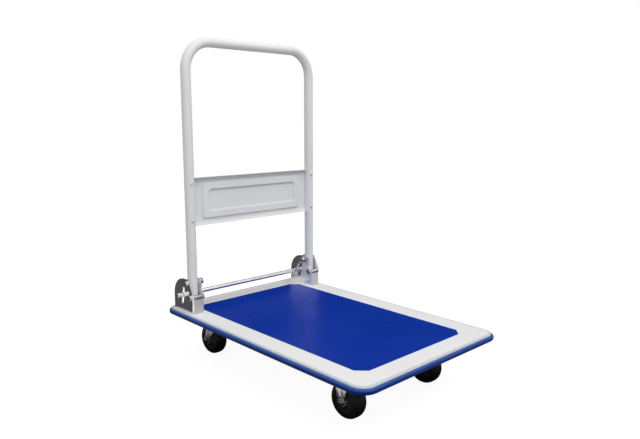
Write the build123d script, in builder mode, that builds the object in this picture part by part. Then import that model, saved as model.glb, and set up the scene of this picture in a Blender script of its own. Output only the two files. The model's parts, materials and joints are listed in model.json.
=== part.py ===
from build123d import *

import os
from math import acos, atan2, cos, degrees, hypot, pi, radians, sin, sqrt, tan

# A folding platform trolley. Sizes are in millimetres, angles in degrees.
# X points forwards, away from the handle, Y to the left and Z up.
# The origin is on the floor, under the middle of the deck.

# Wheels
wheel_diameter = 83
tyre_width = 39
tyre_thickness = 17.5
tyre_shoulder = 15.5
rim_wall = 4
rim_width = 33
hub_web = 9
hub_boss_diameter = 23
hub_width = 42
sleeve_diameter = 12
axle_diameter = 8
running_clearance = 0.05

# Castors
castor_height = 103
castor_plate_sheet = 2.5
castor_plate_length = 66
castor_plate_width = 84
castor_plate_corner = 8
castor_bolt_spacing_x = 46
castor_bolt_spacing_y = 64
castor_bolt_diameter = 6
castor_side_inset = 96
front_axle_inset = 129
rear_swivel_inset = 101.5
swivel_trail = 30
fork_sheet = 2.5
fork_side_clearance = 0.5
fork_shoulder_width = 43
fork_toe_radius = 8.5
fork_dish_margin = 6
fork_dish_depth = 1.1
fork_dish_round = 1.5
fork_dish_above_axle = 12
axle_nut_height = 5
axle_thread_tail = 1.5
race_diameter = 44
race_height = 6
race_cup_wall = 3
race_cup_height = 3.5
race_cup_clearance = 0.6
swivel_gap = 0.3
kingpin_diameter = 10
kingpin_head_diameter = 18
kingpin_head_height = 4

# Deck
mat_length = 600
mat_width = 348
mat_corner_cut = 21
mat_thickness = 2.8
mat_edge_round = 0.8
mat_clearance = 0.3
mat_set_down = 0.3
border_width = 53.2
deck_corner_radius = 31
deck_sheet = 1.5
deck_edge_round = 2.2
deck_skirt = 14
field_lip_round = 1.2
bumper_depth = 6.6
bumper_drop = 3.5
bumper_lip = 1.3
bumper_lip_reach = 4
bumper_round = 5.2
bumper_joint_gap = 0.8

# Frame under the deck
member_depth = 26
member_width = 70
member_flange = 11
member_sheet = 2
member_bend = 4
rail_depth = 18
rail_width = 40
rail_castor_inset = 66.5
rail_end_gap = 2

# Handle
handle_height = 824.5
leg_inset = 26.2
tube_diameter = 25
tube_wall = 1.5
tube_bend_radius = 70
handle_inset = 86.9
pivot_height = 77
pivot_bolt_diameter = 8
pivot_sleeve_diameter = 12
pivot_sleeve_clearance = 0.2
pivot_head_diameter = 11
pivot_head_height = 4
panel_sheet = 1.2
panel_height = 122.5
panel_bottom = 223
panel_setback = 4
panel_flange = 11
panel_bend = 8
panel_flange_clearance = 1
saddle_clearance = 0.1
saddle_lap = 5.5
saddle_bend = 3
bead_end_margin = 22.8
bead_edge_margin = 12.5
bead_width = 24
bead_height = 4.5
bead_slope = 45
bead_corner_round = 6
panel_screw_edge_margin = 14
panel_screw_diameter = 5
panel_screw_head = 8
panel_screw_head_height = 2.4
panel_screw_recess = 4.4
panel_screw_recess_width = 1.1
panel_screw_recess_depth = 1.5

# Hinge brackets
bracket_sheet = 3
bracket_side_clearance = 0.75
bracket_back = 64.4
bracket_front = 27
bracket_crown = 9
bracket_shoulder = 46
bracket_top_front = 5.6
bracket_nose_drop = 39
bracket_corner_round = 5
inner_cheek_rear_height = 14
inner_cheek_top_back = 8.7
inner_cheek_top_front = 17
inner_cheek_step = 11
inner_cheek_pad = 1
bracket_bend = 5
bracket_wall_height = 36
bracket_bolt_diameter = 8
bracket_bolt_rear = 46
bracket_bolt_front = 9
stop_bolt_diameter = 10
stop_below_leg_end = 3
stop_head_diameter = 12
stop_head_height = 5
stop_head_round = 1.2
stop_nut_height = 3
stop_bolt_tail = 0.5
stop_gap = 0.35
bolt_hole_clearance = 0.2

# Release bar and its springs
bar_diameter = 11
bar_back = 22
bar_drop = 34
bar_overhang = 16
bar_end_chamfer = 1
bar_tail_clearance = 0.6
slot_tilt = 12
slot_up = 16
slot_down = 19
slot_clearance = 0.5
clip_rim = 3
clip_thickness = 1.2
clip_groove = 1
clip_gap = 0.5
spring_wire = 1.8
spring_coil_radius = 6.8
spring_pitch = 1.95
spring_whole_turns = 2
spring_gap = 0.3
spring_bend = 3
spring_anchor_bend = 2
spring_anchor_forward = 13.6
spring_anchor_drop = 13.4
bush_diameter = 11
washer_diameter = 16
washer_thickness = 1.2
pivot_nut_height = 4
pivot_bolt_tail = 1

# Fastener heads and nuts, as multiples of the thread
hex_flats = 1.625
head_rise = 0.65
nut_rise = 0.8
thread_tail = 0.25
# Their turned corners: the flat face as a share of the width across flats, and the slope
hex_face = 0.95
hex_corner_angle = 30

# Levels and places worked out from the sizes above
wheel_radius = wheel_diameter / 2
rim_radius = wheel_radius - tyre_thickness
axle_z = wheel_radius
fork_half_gap = hub_width / 2 + fork_side_clearance
fork_half_width = fork_half_gap + fork_sheet
castor_plate_under = castor_height - castor_plate_sheet
fork_bridge_top = castor_plate_under - race_height - swivel_gap
fork_bridge_under = fork_bridge_top - fork_sheet

recess_depth = mat_thickness + mat_set_down
pan_under = castor_height + member_depth
field_top = pan_under + deck_sheet
deck_top = field_top + recess_depth
deck_length = mat_length + 2 * (mat_clearance + border_width)
deck_width = mat_width + 2 * (mat_clearance + border_width)
bumper_height = deck_skirt - bumper_drop + bumper_lip

castor_y = deck_width / 2 - castor_side_inset
front_axle_x = deck_length / 2 - front_axle_inset
rear_swivel_x = rear_swivel_inset - deck_length / 2
rear_axle_x = rear_swivel_x - swivel_trail

leg_y = deck_width / 2 - leg_inset
tube_radius = tube_diameter / 2
bar_radius = bar_diameter / 2
pivot_x = handle_inset - deck_length / 2
pivot_z = deck_top + pivot_height
bracket_height = pivot_height + bracket_crown
cheek_gap = tube_diameter + 2 * bracket_side_clearance
cheek_outer_y = leg_y + cheek_gap / 2 + bracket_sheet
cheek_inner_y = leg_y - cheek_gap / 2 - bracket_sheet
bar_x = pivot_x - bar_back
bar_z = pivot_z - bar_drop
# The legs end where their corners just swing past the bar
tail_swing = hypot(bar_back, bar_drop) - bar_radius - bar_tail_clearance
tube_end_z = pivot_z - sqrt(tail_swing**2 - tube_radius**2)
stop_z = tube_end_z - stop_below_leg_end
stop_reach = sqrt((stop_bolt_diameter / 2) ** 2 - stop_below_leg_end**2)
stop_x = pivot_x + tube_radius + stop_reach + stop_gap
wire_radius = spring_wire / 2
spring_hook_reach = bar_radius + wire_radius + spring_gap
spring_elbow_x = bar_x - spring_hook_reach - wire_radius
spring_elbow_z = bar_z + spring_hook_reach
spring_anchor_x = pivot_x + spring_anchor_forward
spring_anchor_z = pivot_z - spring_anchor_drop


def tangent_to_coil(x, z, turn):
    """Angle on the coil, and length, of the wire that leaves it towards a point."""
    distance = hypot(x - pivot_x, z - pivot_z)
    bearing = degrees(atan2(z - pivot_z, x - pivot_x))
    angle = bearing + turn * degrees(acos(spring_coil_radius / distance))
    return angle, sqrt(distance**2 - spring_coil_radius**2)


bar_leg_angle, bar_leg_length = tangent_to_coil(spring_elbow_x, spring_elbow_z, -1)
anchor_leg_angle, anchor_leg_length = tangent_to_coil(spring_anchor_x, spring_anchor_z, 1)
spring_turns = spring_whole_turns + (bar_leg_angle - anchor_leg_angle) % 360 / 360
spring_slope = spring_pitch / (2 * pi * spring_coil_radius)
anchor_leg_y = cheek_inner_y - spring_gap - wire_radius
coil_outer_y = anchor_leg_y - anchor_leg_length * spring_slope
coil_inner_y = coil_outer_y - spring_turns * spring_pitch
bar_leg_y = coil_inner_y - bar_leg_length * spring_slope
bush_end_y = coil_inner_y - wire_radius - spring_gap

panel_front_x = pivot_x - panel_setback
saddle_inner = tube_radius + saddle_clearance
saddle_outer = saddle_inner + panel_sheet
panel_middle_z = deck_top + panel_bottom + panel_height / 2
panel_screw_rise = panel_height / 2 - panel_screw_edge_margin
panel_screw_points = [
    (side * leg_y, panel_middle_z + step * panel_screw_rise)
    for side in (1, -1)
    for step in (1, -1)
]
bracket_bolt_xs = (pivot_x - bracket_bolt_rear, pivot_x + bracket_bolt_front)
bracket_bolt_points = [(x, side * leg_y) for side in (1, -1) for x in bracket_bolt_xs]


def castor_bolt_points(centre_x):
    """The places of the eight bolts of a left and a right castor."""
    return [
        (
            centre_x + step_x * castor_bolt_spacing_x / 2,
            side * castor_y + step_y * castor_bolt_spacing_y / 2,
        )
        for side in (1, -1)
        for step_x in (1, -1)
        for step_y in (1, -1)
    ]


def mat_outline(grow):
    """The mat's clipped rectangle, grown on all sides."""
    with BuildSketch() as outline:
        Rectangle(mat_length + 2 * grow, mat_width + 2 * grow)
        chamfer(outline.vertices(), mat_corner_cut + grow * (2 - sqrt(2)))
    return outline.sketch


def bar_along_y(x, z, y_from, y_to, radius, mode=Mode.ADD):
    """A round bar or hole along Y in the part being built."""
    with Locations((x, (y_from + y_to) / 2, z)):
        Cylinder(radius, abs(y_to - y_from), rotation=(90, 0, 0), mode=mode)


def turn_corners(centre, outwards, across_flats):
    """Turns the corners of a hexagon back from its outer face, as on a lathe."""
    face_radius = hex_face * across_flats / 2
    beyond_corners = 1.2 * across_flats / 2
    drop = (beyond_corners - face_radius) * tan(radians(hex_corner_angle))
    side = outwards.cross(Vector(1, 2, 3))
    with BuildSketch(Plane(centre, x_dir=side, z_dir=side.cross(outwards))) as corner:
        with BuildLine():
            Polyline((face_radius, 0), (beyond_corners, 0), (beyond_corners, -drop), close=True)
        make_face()
    revolve(corner.sketch, axis=Axis(centre, outwards), mode=Mode.SUBTRACT)


def hexagon_along_y(x, z, y_seat, y_face, across_flats):
    """A hexagonal head or nut along Y in the part being built."""
    with BuildSketch(Plane.XZ.offset(-y_seat)) as outline:
        with Locations((x, z)):
            RegularPolygon(across_flats / 2, 6, major_radius=False)
    extrude(outline.sketch, amount=y_seat - y_face)
    turn_corners((x, y_face, z), Vector(0, y_face - y_seat, 0).normalized(), across_flats)


def hexagon_along_z(points, z_seat, z_face, across_flats):
    """Hexagonal heads or nuts along Z in the part being built."""
    with BuildSketch(Plane.XY.offset(z_seat)) as outline:
        with Locations(*points):
            RegularPolygon(across_flats / 2, 6, major_radius=False)
    extrude(outline.sketch, amount=z_face - z_seat)
    for x, y in points:
        turn_corners((x, y, z_face), Vector(0, 0, z_face - z_seat).normalized(), across_flats)


def rods_along_z(points, z_from, z_to, radius, mode=Mode.ADD):
    """Round rods or holes along Z in the part being built."""
    with BuildSketch(Plane.XY.offset(z_from)) as outline:
        with Locations(*points):
            Circle(radius)
    extrude(outline.sketch, amount=z_to - z_from, mode=mode)


def save(part, name):
    """Labels a finished piece and writes it."""
    part.label = name
    export_step(part, f"parts/{name}.step")


def mirrored(part):
    """The right-hand twin of a left-hand piece."""
    with BuildPart() as twin:
        mirror(part, about=Plane.XZ)
    return twin.part


def save_pair(part, name):
    """Writes a left-hand piece and its right-hand twin as two nodes."""
    save(part, f"{name}_left")
    save(mirrored(part), f"{name}_right")


def save_both(part, name):
    """Writes a left-hand piece and its right-hand twin as one node of two solids."""
    with BuildPart() as both:
        add(part)
        mirror(part, about=Plane.XZ)
    save(both.part, name)


os.makedirs("parts", exist_ok=True)

# Deck pan: a shallow tray turned over, with a rolled edge and a sunk field for the mat
with BuildPart() as deck_pan:
    with BuildSketch(Plane.XY.offset(deck_top)):
        RectangleRounded(deck_length, deck_width, deck_corner_radius)
    extrude(amount=-deck_skirt)
    fillet(deck_pan.faces().sort_by(Axis.Z)[-1].edges(), radius=deck_edge_round)
    offset(amount=-deck_sheet, openings=deck_pan.faces().sort_by(Axis.Z)[0])
    with BuildSketch(Plane.XY.offset(pan_under)):
        add(mat_outline(mat_clearance + deck_sheet))
    extrude(amount=recess_depth + deck_sheet / 2)
    with BuildSketch(Plane.XY.offset(field_top)):
        add(mat_outline(mat_clearance))
    extrude(amount=recess_depth, mode=Mode.SUBTRACT)
    field_rim = (
        deck_pan.edges()
        .group_by(Axis.Z)[-1]
        .filter_by_position(Axis.X, -mat_length / 2 - 1, mat_length / 2 + 1)
        .filter_by_position(Axis.Y, -mat_width / 2 - 1, mat_width / 2 + 1)
    )
    fillet(field_rim, radius=field_lip_round)
    rods_along_z(
        bracket_bolt_points,
        deck_top + deck_sheet,
        deck_top - 2 * deck_sheet,
        bracket_bolt_diameter / 2 + bolt_hole_clearance,
        mode=Mode.SUBTRACT,
    )
save(deck_pan.part, "deck_pan")

with BuildPart() as deck_mat:
    with BuildSketch(Plane.XY.offset(field_top)):
        add(mat_outline(0))
    extrude(amount=mat_thickness)
    fillet(deck_mat.faces().sort_by(Axis.Z)[-1].edges(), radius=mat_edge_round)
save(deck_mat.part, "deck_mat")

# Edge bumper: a half-round strip against the pan's skirt, hooked under it, butted at the rear
with BuildPart() as edge_bumper:
    with BuildSketch(Plane.XY.offset(deck_top - bumper_drop)):
        RectangleRounded(
            deck_length + 2 * bumper_depth,
            deck_width + 2 * bumper_depth,
            deck_corner_radius + bumper_depth,
        )
        RectangleRounded(deck_length, deck_width, deck_corner_radius, mode=Mode.SUBTRACT)
    extrude(amount=-bumper_height)
    with BuildSketch(Plane.XY.offset(deck_top - deck_skirt)):
        RectangleRounded(
            deck_length + bumper_depth,
            deck_width + bumper_depth,
            deck_corner_radius + bumper_depth / 2,
        )
        RectangleRounded(
            deck_length - 2 * bumper_lip_reach,
            deck_width - 2 * bumper_lip_reach,
            deck_corner_radius - bumper_lip_reach,
            mode=Mode.SUBTRACT,
        )
    extrude(amount=-bumper_lip)
    bumper_faces = edge_bumper.faces().sort_by(Axis.Z)
    outer_edges = bumper_faces[-1].outer_wire().edges() + bumper_faces[0].outer_wire().edges()
    fillet(outer_edges, radius=min(bumper_round, 0.45 * bumper_height, 0.8 * bumper_depth))
    with Locations((-(deck_length + bumper_depth) / 2, 0, deck_top - deck_skirt)):
        Box(4 * bumper_depth, bumper_joint_gap, 4 * bumper_height, mode=Mode.SUBTRACT)
save(edge_bumper.part, "edge_bumper")


def hat_section(width, depth, level):
    """A pressed channel's outline, open upwards, with a flange along each upper edge."""
    with BuildSketch() as hat:
        with Locations((0, level - depth)):
            Rectangle(width, depth, align=(Align.CENTER, Align.MIN))
        with Locations((0, level)):
            Rectangle(width + 2 * member_flange, member_sheet, align=(Align.CENTER, Align.MAX))
        with Locations((0, level - depth + member_sheet)):
            Rectangle(
                width - 2 * member_sheet,
                depth,
                align=(Align.CENTER, Align.MIN),
                mode=Mode.SUBTRACT,
            )
        fillet(hat.vertices().group_by(Axis.Y)[0], radius=member_bend)
        fillet(hat.vertices().group_by(Axis.Y)[1], radius=member_bend - member_sheet)
    return hat.sketch


# Cross-members: channels across the underside, welded to the pan, with the castors bolted on
for place, member_x in (("front", front_axle_x), ("rear", rear_swivel_x)):
    member_half = castor_y + castor_plate_width / 2
    with BuildPart() as crossmember:
        with BuildSketch(Plane((member_x, member_half, 0), x_dir=(1, 0, 0), z_dir=(0, -1, 0))):
            add(hat_section(member_width, member_depth, pan_under))
        extrude(amount=2 * member_half)
        rods_along_z(
            castor_bolt_points(member_x),
            castor_height - member_sheet,
            castor_height + 2 * member_sheet,
            castor_bolt_diameter / 2 + bolt_hole_clearance,
            mode=Mode.SUBTRACT,
        )
    save(crossmember.part, f"{place}_crossmember")

# Rails: two lighter channels along the underside, between the cross-members
rail_y = castor_y - rail_castor_inset
rail_margin = member_width / 2 + member_flange + rail_end_gap
rail_start = rear_swivel_x + rail_margin
rail_length = front_axle_x - rail_margin - rail_start
with BuildPart() as deck_rail:
    with BuildSketch(Plane((rail_start, rail_y, 0), x_dir=(0, 1, 0), z_dir=(1, 0, 0))):
        add(hat_section(rail_width, rail_depth, pan_under))
    extrude(amount=rail_length)
save_both(deck_rail.part, "deck_rails")

# Outlines of a hinge bracket's cheeks: an arch, and on the inner one a raised pad that tapers to the pivot
bracket_width = cheek_gap + 2 * bracket_sheet
bracket_top = deck_top + bracket_height
bracket_nose = bracket_top - bracket_nose_drop
with BuildPart() as cheek_outlines:
    with BuildSketch(Plane.XZ.offset(-cheek_outer_y)) as arch:
        with BuildLine():
            Polyline(
                (pivot_x - bracket_back, deck_top),
                (pivot_x - bracket_back, bracket_top),
                (pivot_x + bracket_top_front, bracket_top),
                (pivot_x + bracket_front, bracket_nose),
                (pivot_x + bracket_front, deck_top),
                close=True,
            )
        make_face()
        rear_corner = arch.vertices().group_by(Axis.Y)[-1].sort_by(Axis.X)[0]
        fillet(rear_corner, radius=bracket_shoulder)
        front_corners = arch.vertices().sort_by(Axis.X)[-2:].sort_by(Axis.Y)[-1:]
        fillet(front_corners, radius=bracket_corner_round)
    extrude(amount=bracket_width - inner_cheek_pad)
    with BuildSketch(Plane.XZ.offset(-leg_y)) as taper:
        with BuildLine():
            Polyline(
                (pivot_x - bracket_back, deck_top),
                (pivot_x - bracket_back, deck_top + inner_cheek_rear_height),
                (pivot_x - inner_cheek_top_back, bracket_top),
                (pivot_x + inner_cheek_top_front, bracket_top),
                (pivot_x + inner_cheek_top_front, bracket_nose + inner_cheek_step),
                (pivot_x + bracket_front, bracket_nose),
                (pivot_x + bracket_front, deck_top),
                close=True,
            )
        make_face()
        fillet(taper.vertices().group_by(Axis.Y)[-1], radius=bracket_corner_round)
    extrude(amount=bracket_width / 2)

# Hinge bracket: a U of sheet, open at the rear, with a low front wall and a foot on the deck
with BuildPart() as hinge_bracket:
    bracket_length = bracket_back + bracket_front
    bracket_middle_x = pivot_x + (bracket_front - bracket_back) / 2
    with BuildSketch(Plane.XY.offset(deck_top)) as plan:
        with Locations((bracket_middle_x, leg_y)):
            Rectangle(bracket_length, bracket_width)
        fillet(plan.vertices().group_by(Axis.X)[-1], radius=bracket_bend)
        with Locations((bracket_middle_x - bracket_sheet, leg_y)):
            Rectangle(bracket_length, cheek_gap, mode=Mode.SUBTRACT)
    extrude(amount=bracket_height)
    add(cheek_outlines.part, mode=Mode.INTERSECT)
    with BuildSketch(Plane.XY.offset(deck_top + bracket_wall_height)):
        with Locations((pivot_x + bracket_front, leg_y)):
            Rectangle(2 * bracket_bend, cheek_gap, align=(Align.MAX, Align.CENTER))
    extrude(amount=bracket_height, mode=Mode.SUBTRACT)
    with BuildSketch(Plane.XY.offset(deck_top)):
        with Locations((bracket_middle_x - bracket_sheet / 2, leg_y)):
            Rectangle(bracket_length - bracket_sheet, cheek_gap)
    extrude(amount=bracket_sheet)
    rods_along_z(
        [(x, leg_y) for x in bracket_bolt_xs],
        deck_top - bracket_sheet,
        deck_top + 2 * bracket_sheet,
        bracket_bolt_diameter / 2 + bolt_hole_clearance,
        mode=Mode.SUBTRACT,
    )
    slot_middle = (slot_up - slot_down) / 2
    with BuildSketch(Plane.XZ.offset(-cheek_outer_y)):
        with Locations((pivot_x, pivot_z)):
            Circle(pivot_bolt_diameter / 2 + bolt_hole_clearance)
        with Locations((stop_x, stop_z)):
            Circle(stop_bolt_diameter / 2 + bolt_hole_clearance)
        with Locations(
            (
                bar_x + slot_middle * sin(radians(slot_tilt)),
                bar_z + slot_middle * cos(radians(slot_tilt)),
            )
        ):
            SlotCenterToCenter(
                slot_up + slot_down,
                bar_diameter + 2 * slot_clearance,
                rotation=90 - slot_tilt,
            )
    extrude(amount=bracket_width, mode=Mode.SUBTRACT)
    bar_along_y(
        spring_anchor_x,
        spring_anchor_z,
        cheek_inner_y,
        cheek_inner_y + bracket_sheet,
        wire_radius + bolt_hole_clearance,
        mode=Mode.SUBTRACT,
    )
save_pair(hinge_bracket.part, "hinge_bracket")

bracket_head_flats = bracket_bolt_diameter * hex_flats
bracket_nut_top = deck_top - deck_sheet
bracket_nut_height = bracket_bolt_diameter * nut_rise
with BuildPart() as bracket_bolts:
    hexagon_along_z(
        bracket_bolt_points,
        deck_top + bracket_sheet,
        deck_top + bracket_sheet + bracket_bolt_diameter * head_rise,
        bracket_head_flats,
    )
    rods_along_z(
        bracket_bolt_points,
        bracket_nut_top - bracket_nut_height - bracket_bolt_diameter * thread_tail,
        deck_top + bracket_sheet,
        bracket_bolt_diameter / 2,
    )
save(bracket_bolts.part, "bracket_bolts")

with BuildPart() as bracket_nuts:
    hexagon_along_z(
        bracket_bolt_points,
        bracket_nut_top,
        bracket_nut_top - bracket_nut_height,
        bracket_head_flats,
    )
    rods_along_z(
        bracket_bolt_points,
        bracket_nut_top,
        bracket_nut_top - bracket_nut_height,
        bracket_bolt_diameter / 2,
        mode=Mode.SUBTRACT,
    )
save(bracket_nuts.part, "bracket_nuts")

# Pivot bolts: a domed head outside, then cheek, leg, cheek, spring bush, washer and nut
pivot_flats = pivot_bolt_diameter * hex_flats
washer_end_y = bush_end_y - washer_thickness
pivot_nut_end_y = washer_end_y - pivot_nut_height
with BuildPart() as pivot_bolt:
    bar_along_y(
        pivot_x,
        pivot_z,
        pivot_nut_end_y - pivot_bolt_tail,
        cheek_outer_y,
        pivot_bolt_diameter / 2,
    )
    bar_along_y(
        pivot_x,
        pivot_z,
        cheek_outer_y,
        cheek_outer_y + pivot_head_height,
        pivot_head_diameter / 2,
    )
    head_rim = pivot_bolt.faces().sort_by(Axis.Y)[-1].edges()
    fillet(head_rim, radius=0.8 * pivot_head_height)
save_both(pivot_bolt.part, "pivot_bolts")

with BuildPart() as spring_bush:
    bar_along_y(pivot_x, pivot_z, bush_end_y, cheek_inner_y, bush_diameter / 2)
    bar_along_y(
        pivot_x,
        pivot_z,
        bush_end_y,
        cheek_inner_y,
        pivot_bolt_diameter / 2 + running_clearance,
        mode=Mode.SUBTRACT,
    )
save_both(spring_bush.part, "spring_bushes")

with BuildPart() as pivot_washer:
    bar_along_y(pivot_x, pivot_z, washer_end_y, bush_end_y, washer_diameter / 2)
    bar_along_y(
        pivot_x,
        pivot_z,
        washer_end_y,
        bush_end_y,
        pivot_bolt_diameter / 2 + running_clearance,
        mode=Mode.SUBTRACT,
    )
save_both(pivot_washer.part, "pivot_washers")

with BuildPart() as pivot_nut:
    hexagon_along_y(pivot_x, pivot_z, washer_end_y, pivot_nut_end_y, pivot_flats)
    bar_along_y(
        pivot_x,
        pivot_z,
        washer_end_y,
        pivot_nut_end_y,
        pivot_bolt_diameter / 2,
        mode=Mode.SUBTRACT,
    )
save_both(pivot_nut.part, "pivot_nuts")

# Stop bolts: across each bracket in front of the leg's foot, round head outside, thin nut inside
stop_radius = stop_bolt_diameter / 2
stop_flats = stop_bolt_diameter * hex_flats
stop_nut_end_y = cheek_inner_y - stop_nut_height
with BuildPart() as stop_bolt:
    bar_along_y(
        stop_x,
        stop_z,
        stop_nut_end_y - stop_bolt_tail,
        cheek_outer_y,
        stop_radius,
    )
    bar_along_y(
        stop_x, stop_z, cheek_outer_y, cheek_outer_y + stop_head_height, stop_head_diameter / 2
    )
    stop_head_rim = stop_bolt.faces().sort_by(Axis.Y)[-1].edges()
    fillet(stop_head_rim, radius=stop_head_round)
save_both(stop_bolt.part, "stop_bolts")

with BuildPart() as stop_nut:
    hexagon_along_y(stop_x, stop_z, cheek_inner_y, stop_nut_end_y, stop_flats)
    bar_along_y(stop_x, stop_z, cheek_inner_y, stop_nut_end_y, stop_radius, mode=Mode.SUBTRACT)
save_both(stop_nut.part, "stop_nuts")

# Handle: one tube bent into a U, with cross holes for its pivot sleeves and the panel screws
handle_bar_z = handle_height - tube_radius
with BuildPart() as handle_tube:
    with BuildLine() as centreline:
        FilletPolyline(
            (pivot_x, -leg_y, tube_end_z),
            (pivot_x, -leg_y, handle_bar_z),
            (pivot_x, leg_y, handle_bar_z),
            (pivot_x, leg_y, tube_end_z),
            radius=tube_bend_radius,
        )
    with BuildSketch(Plane((pivot_x, -leg_y, tube_end_z), z_dir=(0, 0, 1))):
        Circle(tube_radius)
        Circle(tube_radius - tube_wall, mode=Mode.SUBTRACT)
    sweep(path=centreline.line)
    bar_along_y(
        pivot_x,
        pivot_z,
        -leg_y - tube_diameter,
        leg_y + tube_diameter,
        pivot_sleeve_diameter / 2,
        mode=Mode.SUBTRACT,
    )
    with BuildSketch(Plane.YZ.offset(pivot_x + tube_radius)):
        with Locations(*panel_screw_points):
            Circle(panel_screw_diameter / 2 + bolt_hole_clearance)
    extrude(amount=-tube_diameter, mode=Mode.SUBTRACT)
save(handle_tube.part, "handle_tube")

with BuildPart() as pivot_sleeve:
    sleeve_half = cheek_gap / 2 - pivot_sleeve_clearance
    bar_along_y(
        pivot_x, pivot_z, leg_y - sleeve_half, leg_y + sleeve_half, pivot_sleeve_diameter / 2
    )
    bar_along_y(
        pivot_x,
        pivot_z,
        leg_y - sleeve_half,
        leg_y + sleeve_half,
        pivot_bolt_diameter / 2 + running_clearance,
        mode=Mode.SUBTRACT,
    )
save_both(pivot_sleeve.part, "pivot_sleeves")

# Handle panel: a sheet between the legs with its long edges turned forwards, its ends bent round
# the backs of the legs as saddles, and a bead pressed in it as a frame
flange_half_width = leg_y - tube_radius - panel_flange_clearance
with BuildPart() as handle_panel:
    with BuildSketch(Plane.XZ.offset(-flange_half_width)) as channel:
        with Locations((panel_front_x - panel_sheet, panel_middle_z)):
            Rectangle(panel_flange + panel_sheet, panel_height, align=(Align.MIN, Align.CENTER))
        fillet(channel.vertices().group_by(Axis.X)[0], radius=panel_bend)
    extrude(amount=2 * flange_half_width)
    with BuildSketch(Plane.XZ.offset(-flange_half_width)) as hollow:
        with Locations((panel_front_x, panel_middle_z)):
            Rectangle(
                panel_flange, panel_height - 2 * panel_sheet, align=(Align.MIN, Align.CENTER)
            )
        fillet(hollow.vertices().group_by(Axis.X)[0], radius=panel_bend - panel_sheet)
    extrude(amount=2 * flange_half_width, mode=Mode.SUBTRACT)
    saddle_height = panel_height - 2 * panel_bend
    with BuildSketch(Plane.XY.offset(panel_middle_z - saddle_height / 2)) as web:
        with Locations((panel_front_x, 0)):
            Rectangle(panel_sheet, 2 * leg_y, align=(Align.MAX, Align.CENTER))
        with Locations((pivot_x, leg_y), (pivot_x, -leg_y)):
            Circle(saddle_outer)
            Circle(saddle_inner, mode=Mode.SUBTRACT)
        with Locations((panel_front_x, 0)):
            Rectangle(
                2 * tube_diameter, 2 * deck_width, align=(Align.MIN, Align.CENTER),
                mode=Mode.SUBTRACT,
            )
        for side, edge in ((1, Align.MIN), (-1, Align.MAX)):
            with Locations((pivot_x, side * (leg_y + saddle_lap))):
                Rectangle(
                    2 * tube_diameter, tube_diameter, align=(Align.CENTER, edge),
                    mode=Mode.SUBTRACT,
                )
        web_rear_x = panel_front_x - panel_sheet
        saddle_roots = web.vertices().filter_by_position(Axis.X, web_rear_x - 0.01, web_rear_x + 0.01)
        fillet(saddle_roots, radius=saddle_bend)
    extrude(amount=saddle_height)
    bead_length = 2 * (flange_half_width - bead_end_margin)
    bead_frame_height = panel_height - 2 * bead_edge_margin
    for face_x, bead_mode in (
        (panel_front_x, Mode.ADD),
        (panel_front_x - panel_sheet, Mode.SUBTRACT),
    ):
        with BuildSketch(Plane((face_x, 0, panel_middle_z), x_dir=(0, 1, 0), z_dir=(1, 0, 0))):
            RectangleRounded(bead_length, bead_frame_height, bead_corner_round + bead_height)
            RectangleRounded(
                bead_length - 2 * bead_width,
                bead_frame_height - 2 * bead_width,
                bead_corner_round,
                mode=Mode.SUBTRACT,
            )
        extrude(amount=bead_height, taper=bead_slope, mode=bead_mode)
    with BuildSketch(Plane.YZ.offset(pivot_x)):
        with Locations(*panel_screw_points):
            Circle(panel_screw_diameter / 2 + bolt_hole_clearance)
    extrude(amount=-tube_diameter, mode=Mode.SUBTRACT)
save(handle_panel.part, "handle_panel")

# Panel screws: through the legs, with cross recessed heads in front and nuts behind the saddles
panel_nut_front_x = pivot_x - saddle_outer
panel_nut_rear_x = panel_nut_front_x - panel_screw_diameter * nut_rise
with BuildPart() as panel_screws:
    with BuildSketch(Plane.YZ.offset(pivot_x + tube_radius)):
        with Locations(*panel_screw_points):
            Circle(panel_screw_head / 2)
    extrude(amount=panel_screw_head_height)
    fillet(panel_screws.faces().group_by(Axis.X)[-1].edges(), radius=0.6 * panel_screw_head_height)
    with BuildSketch(Plane.YZ.offset(pivot_x + tube_radius + panel_screw_head_height)):
        with Locations(*panel_screw_points):
            Rectangle(panel_screw_recess, panel_screw_recess_width)
            Rectangle(panel_screw_recess_width, panel_screw_recess)
    extrude(amount=-panel_screw_recess_depth, mode=Mode.SUBTRACT)
    with BuildSketch(Plane.YZ.offset(pivot_x + tube_radius)):
        with Locations(*panel_screw_points):
            Circle(panel_screw_diameter / 2)
    shank_length = pivot_x + tube_radius - panel_nut_rear_x + panel_screw_diameter * thread_tail
    extrude(amount=-shank_length)
save(panel_screws.part, "panel_screws")

with BuildPart() as panel_nuts:
    with BuildSketch(Plane.YZ.offset(panel_nut_front_x)):
        with Locations(*panel_screw_points):
            RegularPolygon(panel_screw_diameter * hex_flats / 2, 6, major_radius=False)
            Circle(panel_screw_diameter / 2, mode=Mode.SUBTRACT)
    extrude(amount=panel_nut_rear_x - panel_nut_front_x)
    for y, z in panel_screw_points:
        turn_corners((panel_nut_rear_x, y, z), Vector(-1, 0, 0), panel_screw_diameter * hex_flats)
save(panel_nuts.part, "panel_nuts")

# Release bar, with a clip in a groove on the inner side of each bracket
bar_end_y = cheek_outer_y + bar_overhang
clip_end_y = cheek_inner_y - clip_gap
clip_start_y = clip_end_y - clip_thickness
with BuildPart() as release_bar:
    bar_along_y(bar_x, bar_z, -bar_end_y, bar_end_y, bar_radius)
    end_rims = release_bar.faces().sort_by(Axis.Y)
    chamfer(end_rims[0].edges() + end_rims[-1].edges(), length=bar_end_chamfer)
    for side in (1, -1):
        with Locations((bar_x, side * (clip_start_y + clip_thickness / 2), bar_z)):
            Cylinder(bar_diameter, clip_thickness, rotation=(90, 0, 0), mode=Mode.SUBTRACT)
            Cylinder(bar_radius - clip_groove, clip_thickness, rotation=(90, 0, 0))
save(release_bar.part, "release_bar")

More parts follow.
